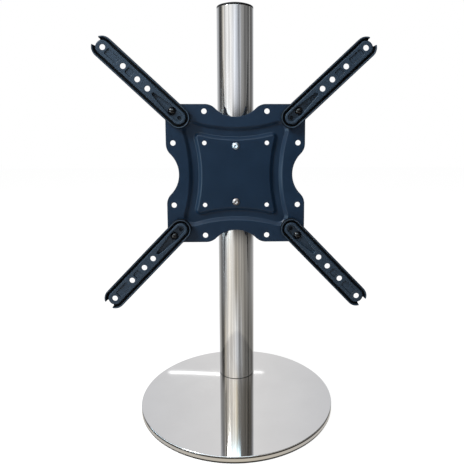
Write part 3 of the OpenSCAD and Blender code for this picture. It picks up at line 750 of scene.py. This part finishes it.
def on_plate(parts, at=(0.0, 0.0), out=0.0, angle=0.0):
    """Parts drawn with their front towards +Z, turned by angle degrees, moved to a place on the
    plate and stood upright, so that their front faces the screen."""
    c, s = cos(radians(angle)), sin(radians(angle))
    placed = []
    for points, faces in parts:
        x, y, z = points.T
        across, up = at[0] + c * x - s * y, at[1] + s * x + c * y
        placed.append((np.column_stack([across, plate_y - out - z, plate_z + up]), faces))
    return placed


powder = coat("blue_black_powder", (0.0054, 0.0178, 0.0395), 0.30, 0.8, 0.008, shine=0.3)
plate = skin("bolt_plate_pressed", on_plate(plate_parts), powder)
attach(plate, "stand")
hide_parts("bolt_plate")

# Spacers: two turned and zinc plated steel discs behind the middle panel, hollowed at the rear to
# sit on the round pole, and held by the plate screws that pass through them.
spacer_r, break_edge = 8.0, 0.3


def saddle(radius):
    """A row round the spacer's axis that lies on the pole's surface: at x across, that surface is
    the root of pole_r squared less x squared in front of the pole's axis."""
    row = circle(radius, points=row_points)
    return np.column_stack([row, plate_y - pole_y + np.sqrt(pole_r ** 2 - row[:, 0] ** 2)])


spacer_rows = [
    ring_row(screw_hole_r, -sheet_t), ring_row(spacer_r - break_edge, -sheet_t),
    ring_row(spacer_r, -sheet_t - break_edge), saddle(spacer_r), saddle(screw_hole_r),
    ring_row(screw_hole_r, -sheet_t)
]
for name, height in (("upper", screw_rise), ("lower", -screw_rise)):
    spacer = skin(f"spacer_{name}_turned", on_plate([band(spacer_rows)], (0, height)), zinc)
    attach(spacer, "stand")
    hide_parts(f"spacer_{name}")

# Plate screws: two zinc plated button-head screws with hexagon sockets, through the middle panel
# and the spacers into a tapped bar inside the pole. The upper one's zinc is painted lighter and bluer
# as lit, the lower one's darker and warmer as in shade.
head_r, head_h, screw_r, screw_l, dimple_r = 5.75, 3.3, 3.0, 24.81, 2.7
head_flats, head_socket_h, head_ease, head_foot = 4.0, 2.2, 0.15, 0.12
plain_l, screw_pitch, screw_thread_h = 12.0, 1.0, 0.4
# Painted light and shade: one zinc, painted lit for the upper screw and shaded for the lower one.
lit_zinc = steel("lit_zinc", (0.60, 0.66, 0.72), 0.38, (1, 1, 1), 0.002, 4.0)
shaded_zinc = steel("shaded_zinc", (0.40, 0.36, 0.35), 0.40, (1, 1, 1), 0.002, 4.0)


def domed(ball, crown, sizes):
    """Rows of a ball's cap: height is crown less ball plus the root of ball squared less r squared."""
    return [ring_row(r, crown - ball + sqrt(ball ** 2 - r ** 2)) for r in sizes]


head_ball = (head_r ** 2 + head_h ** 2) / (2 * head_h)
dimple_z = head_h - head_ball + sqrt(head_ball ** 2 - dimple_r ** 2)
screw_rows = socket_rows(head_flats, dimple_r, dimple_z, head_h - head_socket_h)[::-1]
screw_rows += domed(head_ball, head_h, np.linspace(dimple_r, head_r - head_ease, 12)[1:])
screw_rows += [ring_row(head_r, head_foot), ring_row(head_r - head_ease, 0), ring_row(screw_r, 0)]
screw_rows += [ring_row(screw_r, -plain_l)]
screw_rows += threaded(screw_r, -plain_l - run_in, -screw_l, screw_pitch, screw_thread_h)
for name, height, finish in (("upper", screw_rise, lit_zinc), ("lower", -screw_rise, shaded_zinc)):
    screw = skin(f"plate_screw_{name}_bright", on_plate([band(screw_rows)], (0, height)), finish)
    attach(screw, "stand")
    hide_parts(f"plate_screw_{name}")

# Arms: four alike, pressed from steel sheet and powder coated, with an upturned rim that stops
# short at the tip, a raised panel with four fixing holes, shallow oblong recesses and a long
# recess round the pivot.
arm_r, rim_h, rim_t, arm_t, panel_r, panel_h = 17.0, 9.0, 2.5, 2.2, 11.0, 8.0
heel, tip, mouth, tip_points = 15.3, 100 * sqrt(2), radians(28), 16
fixings, fixing_r, fixing_edge = (50.0, 100 / sqrt(2), 100.0, tip), 4.4, 0.6
locator_r, locator_edge, pivot_way_r, pivot_edge = 2.0, 1.0, 3.05, 0.3
panel_wall, panel_brow, panel_foot = 0.8, 1.7, 0.8
rim_hold, rim_bends = 1.0, [0, 0.7, 1.1, 1.3, 0.6, 0]
recess_heel_r, recess_r, recess_tip_r, recess_tip = 6.2, 7.0, 2.4, 37.0
recess_wall, recess_brow, recess_foot = 0.4, 1.0, 0.4
under_h, hollow_r = panel_h - arm_t, panel_r - arm_t
hollow_x, hollow_hold, hollow_mouth = recess_tip + recess_tip_r + arm_t + hollow_r, 1.0, 0.4
hollow_bends = [0, 0.5, 0.6, 0]
oblong_half, oblong_r, oblong_depth, oblong_near, oblong_far = 3.5, 1.5, 1.6, 11.5, 9.5
oblong_wall, oblong_brow, oblong_foot, under_at = 0.5, 0.8, 0.5, 1.2


def stadium(near, far, radius, mouth, closed=True):
    """Loop of a bar with round ends about two points of the X axis. It runs from angle mouth at
    the far end once round, and a closed loop goes on through the far end from -mouth to mouth."""
    side = np.linspace(far, near, 14, endpoint=False)
    edge = np.full(len(side), radius)
    loop = [
        arc((far, 0), radius, mouth, pi / 2, tip_points), np.column_stack([side, edge]),
        arc((near, 0), radius, pi / 2, 3 * pi / 2, 48), np.column_stack([near + far - side, -edge]),
        arc((far, 0), radius, 3 * pi / 2, 2 * pi - mouth, tip_points),
        arc((far, 0), radius, -mouth, mouth, tip_points)
    ]
    return np.concatenate(loop if closed else [*loop[:-1], loop[-1][:1]])


def long_recess(outside):
    """Loop round three circles on the arm's axis, joined by their common tangents: a tangent
    touches both circles at the angle whose cosine is the radii's difference over the distance."""
    far_turn = np.arccos((recess_r - recess_tip_r) / recess_tip)
    near_turn = np.arccos((recess_heel_r - recess_r) / heel)
    pieces = [
        (recess_tip, recess_tip_r, -far_turn, far_turn, 20), (0, recess_r, far_turn, near_turn, 5),
        (-heel, recess_heel_r, near_turn, 2 * pi - near_turn, 36), (0, recess_r, -near_turn, -far_turn, 5)
    ]
    return np.concatenate([arc((x, 0), radius + outside, *rest, True) for x, radius, *rest in pieces])


def oblong(near, far, outside):
    """Loop of a small rectangle with a quarter circle in each corner, between two fixing holes."""
    y = oblong_half
    return np.concatenate([
        arc(corner, oblong_r + outside, i * pi / 2, (i + 1) * pi / 2, 8, True)
        for i, corner in enumerate([(far, y), (near, y), (near, -y), (far, -y)])
    ])


panel_step = pressed_step(under_h, panel_wall, panel_brow, panel_foot) * [-1, 1] + [panel_r, panel_h]
floor_r = panel_step[-1, 0]
panel_rows = carried(lambda r: stadium(-heel, tip, r, mouth), panel_step)
rim_section = rounded([
    (floor_r, arm_t), (arm_r - rim_t, arm_t), (arm_r - rim_t, rim_h), (arm_r, rim_h), (arm_r, 0),
    (arm_r - rim_hold, 0)
], rim_bends)
rim_rows = carried(lambda r: stadium(-heel, tip, r, mouth, False), rim_section)
floor_loop = stadium(-heel, tip, floor_r, mouth)
mouth_arc = np.concatenate([floor_loop[-tip_points:], floor_loop[:1]])
mouth_rows = np.array([np.column_stack([mouth_arc, np.full(len(mouth_arc), z)]) for z in (arm_t, 0)])


def rim_end(side):
    """The flat end of the rim and floor beside the mouth, with the section's own outline. It lies
    in the plane through the tip hole's axis, the mouth's angle off the arm's axis."""
    section = np.concatenate([rim_section, [(floor_r, 0)]])
    points, faces = flat(0, section)
    reach, height = points[:, 0], points[:, 1]
    return np.column_stack([tip + reach * cos(mouth), side * reach * sin(mouth), height]), faces


hollow_rows = carried(lambda g: stadium(hollow_x, tip, hollow_r + g, hollow_mouth), rounded(
    [(hollow_hold, 0), (0, 0), (0, under_h), (-hollow_hold, under_h)], hollow_bends, steps=4))
recess_step = pressed_step(under_h, recess_wall, recess_brow, recess_foot) + [0, panel_h]
recess_rows = carried(long_recess, recess_step)
fixing_rim = cut_rim(panel_h, under_h, fixing_edge)
fixing_rows = [carried(lambda g, x=x: circle(fixing_r + g, (x, 0), 48), fixing_rim) for x in fixings]
pivot_rows = carried(lambda g: circle(pivot_way_r + g, (0, 0), 48), cut_rim(arm_t, 0, pivot_edge))
locator_rows = carried(lambda g: circle(locator_r + g, (-heel, 0), 32), cut_rim(arm_t, 0, locator_edge))
oblongs = [(fixings[i] + oblong_near, fixings[i + 1] - oblong_far) for i in (1, 2)]
oblong_step = pressed_step(oblong_depth, oblong_wall, oblong_brow, oblong_foot) + [0, panel_h]
under_step = pressed_step(oblong_depth, oblong_wall, oblong_foot, oblong_brow, under_at) + [0, under_h]
oblong_rows, under_rows = (
    [carried(lambda g, span=span: oblong(*span, g), step) for span in oblongs]
    for step in (oblong_step, under_step)
)
back_edge = np.concatenate([rim_rows[-1], mouth_rows[1]])
arm_parts = [band(rows) for rows in (panel_rows, hollow_rows, recess_rows, *fixing_rows, pivot_rows,
                                     locator_rows, *oblong_rows, *under_rows)]
arm_parts += [band(rim_rows, closed=False), band(mouth_rows, closed=False), rim_end(1), rim_end(-1)]
arm_parts += [
    flat(panel_h, panel_rows[0], recess_rows[0], *[rows[0] for rows in (*fixing_rows, *oblong_rows)]),
    flat(arm_t, recess_rows[-1], pivot_rows[0], locator_rows[0]),
    flat(0, back_edge, hollow_rows[0], pivot_rows[-1], locator_rows[-1]),
    flat(under_h, hollow_rows[-1], *[rows[-1] for rows in fixing_rows], *[rows[0] for rows in under_rows]),
    *[flat(panel_h - oblong_depth, rows[-1]) for rows in oblong_rows],
    *[flat(under_h - oblong_depth, rows[-1]) for rows in under_rows],
]
washer_t, upper_angle, lower_angle = 0.8, 43.0, 46.0
corners = {
    "top_left": (-pivot_at, pivot_at, 180 - upper_angle), "top_right": (pivot_at, pivot_at, upper_angle),
    "bottom_left": (-pivot_at, -pivot_at, 180 + lower_angle),
    "bottom_right": (pivot_at, -pivot_at, -lower_angle)
}
arm_powder = coat("arm_powder", (0.0155, 0.0295, 0.0485), 0.42, 1.6, 0.001, shine=0.32)
# Painted shade: a near black, rougher coat that stands in for the shade in the arms' grooves, recesses and
# hole.
painted_shade_powder = coat("painted_shade_powder", (0.0022, 0.0030, 0.0040), 0.62, 1.2, 0.005, shine=0.12)
groove_gap, groove_top, outside_w, outside_top = 0.5, rim_h - 0.7, 0.9, rim_h - 0.25
sunk_top, sunk_low, sunk_reach, locator_w = panel_h - 0.3, panel_h - oblong_depth + 0.1, 2.5, 1.1


def paint_shade_in_grooves(arm, at, angle):
    """Gives the groove between rim and panel, the outside of the rim, the walls of the oblongs
    and the locating hole's edge a near black coat, painted shade where little light reaches. A face
    belongs to them by its height and by its distance from the arm's axis or from the hole's."""
    c, s = cos(radians(angle)), sin(radians(angle))
    centres = np.empty(len(arm.data.polygons) * 3)
    arm.data.polygons.foreach_get("center", centres)
    across, depth, up = centres.reshape(-1, 3).T / MM
    across, up, height = across - at[0], up - plate_z - at[1], plate_y - washer_t - depth
    along, aside = c * across + s * up, c * up - s * across
    reach = np.hypot(along - np.clip(along, -heel, tip), aside)
    groove = (reach > panel_r + groove_gap) & (reach < arm_r - rim_t + groove_gap) & (height < groove_top)
    outside = (reach > arm_r - outside_w) & (height < outside_top)
    sunk = (np.abs(aside) < panel_r) & (height < sunk_top) & (height > sunk_low)
    beside = [(along > near - sunk_reach) & (along < far + sunk_reach) for near, far in oblongs]
    sunk &= beside[0] | beside[1]
    locator = np.hypot(along + heel, aside) < locator_r + locator_w
    arm.data.materials.append(painted_shade_powder.material)
    arm.data.polygons.foreach_set("material_index", (groove | outside | sunk | locator).astype(np.int32))


for corner, (x, y, angle) in corners.items():
    arm = skin(f"arm_{corner}_pressed", on_plate(arm_parts, (x, y), washer_t, angle), arm_powder)
    paint_shade_in_grooves(arm, (x, y), angle)
    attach(arm, f"arm_{corner}")
    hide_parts(f"arm_{corner}")

# Pivots: at each corner a black domed bolt, a nylon slip washer under the arm and, behind the
# plate, a zinc plated washer and a lock nut whose nylon insert keeps the arm where it is put.
pivot_r, dome_edge, dome_h, head_flank, dome_ease = 3.0, 0.8, 4.2, 6.25, 0.2
slip_r, back_r, back_t, washer_edge = 7.5, 6.25, 1.2, 0.2
nut_flats, nut_h, nut_bevel, nut_bevel_h, thread_end, thread_gap = 10.0, 4.2, 0.8, 0.45, 1.5, 0.05
nut_collar_r, nut_collar_h, nut_collar_in, insert_seat = 4.55, 1.8, 3.95, 0.3
insert_way_r, insert_r, insert_sunk, insert_edge = 3.03, 3.93, 0.2, 0.15
collar_bends = [0, 0.15, 0.5, 0.15, 0, 0]
dome_ball = (head_flank ** 2 + (dome_h - dome_edge) ** 2) / (2 * (dome_h - dome_edge))
seat, nut_seat = washer_t + arm_t, -sheet_t - back_t
bolt_end = nut_seat - nut_h - nut_collar_h - thread_end
bolt_rows = domed(dome_ball, seat + dome_h, np.linspace(0, head_flank - dome_ease, 20))
bolt_rows += [ring_row(r, z) for r, z in rounded([
    (head_flank - dome_ease, seat + dome_edge + dome_ease), (head_flank, seat + dome_edge - dome_ease / 2),
    (head_flank, seat), (pivot_r, seat), (pivot_r, nut_seat)
], [0, dome_ease, dome_ease, 0, 0], steps=3)][1:]
bolt_rows += threaded(pivot_r, nut_seat - run_in, bolt_end, screw_pitch, screw_thread_h)


def nut_row(outside, height):
    """A row of the nut's hexagon, held by its bevel inside a circle that lies outside the flats."""
    return ring_row(np.minimum(hexagon(nut_flats), nut_flats / 2 + outside), height)


bevel = np.linspace(0, 1, 6)
nut_low, collar_low = nut_seat - nut_h, nut_seat - nut_h - nut_collar_h
nut_rows = [ring_row(pivot_r + thread_gap, nut_seat)]
nut_rows += [nut_row(nut_bevel * b, nut_seat - nut_bevel_h * b) for b in bevel]
nut_rows += [nut_row(nut_bevel * (1 - b), nut_low + nut_bevel_h * (1 - b)) for b in bevel]
nut_rows += [ring_row(r, z) for r, z in rounded([
    (nut_flats / 2 - thread_gap, nut_low), (nut_collar_r, nut_low), (nut_collar_r, collar_low),
    (nut_collar_in, collar_low), (nut_collar_in, nut_low + insert_seat),
    (pivot_r + thread_gap, nut_low + insert_seat)
], collar_bends, steps=4)]
nut_rows += [nut_rows[0]]
insert_low, insert_top = collar_low + insert_sunk, nut_low + insert_seat - thread_gap
insert = collar(insert_way_r, insert_r, insert_low, insert_top, insert_edge)
gloss_black = coat("gloss_black", (0.002, 0.002, 0.003), 0.06, 1.2, 0.0005, shine=0.45)
nylon = coat("black_nylon", (0.045, 0.045, 0.047), 0.45, 0.4, 0.006)
insert_nylon = coat("insert_nylon", (0.50, 0.53, 0.58), 0.40, 0.4, 0.006)
pivot_pieces = (
    ("pivot_bolt", "domed", band(bolt_rows), gloss_black),
    ("slip_washer", "nylon", collar(bolt_way_r, slip_r, 0, washer_t, washer_edge), nylon),
    ("back_washer", "plated", collar(bolt_way_r, back_r, nut_seat, -sheet_t, washer_edge), zinc),
    ("lock_nut", "plated", band(nut_rows), zinc),
)
for corner, (x, y, _) in corners.items():
    for kind, ending, part, finish in pivot_pieces:
        thing = skin(f"{kind}_{corner}_{ending}", on_plate([part], (x, y)), finish)
        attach(thing, "stand")
        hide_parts(f"{kind}_{corner}")
    ring_insert = skin(f"lock_nut_{corner}_insert", on_plate([insert], (x, y)), insert_nylon)
    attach(ring_insert, "stand")
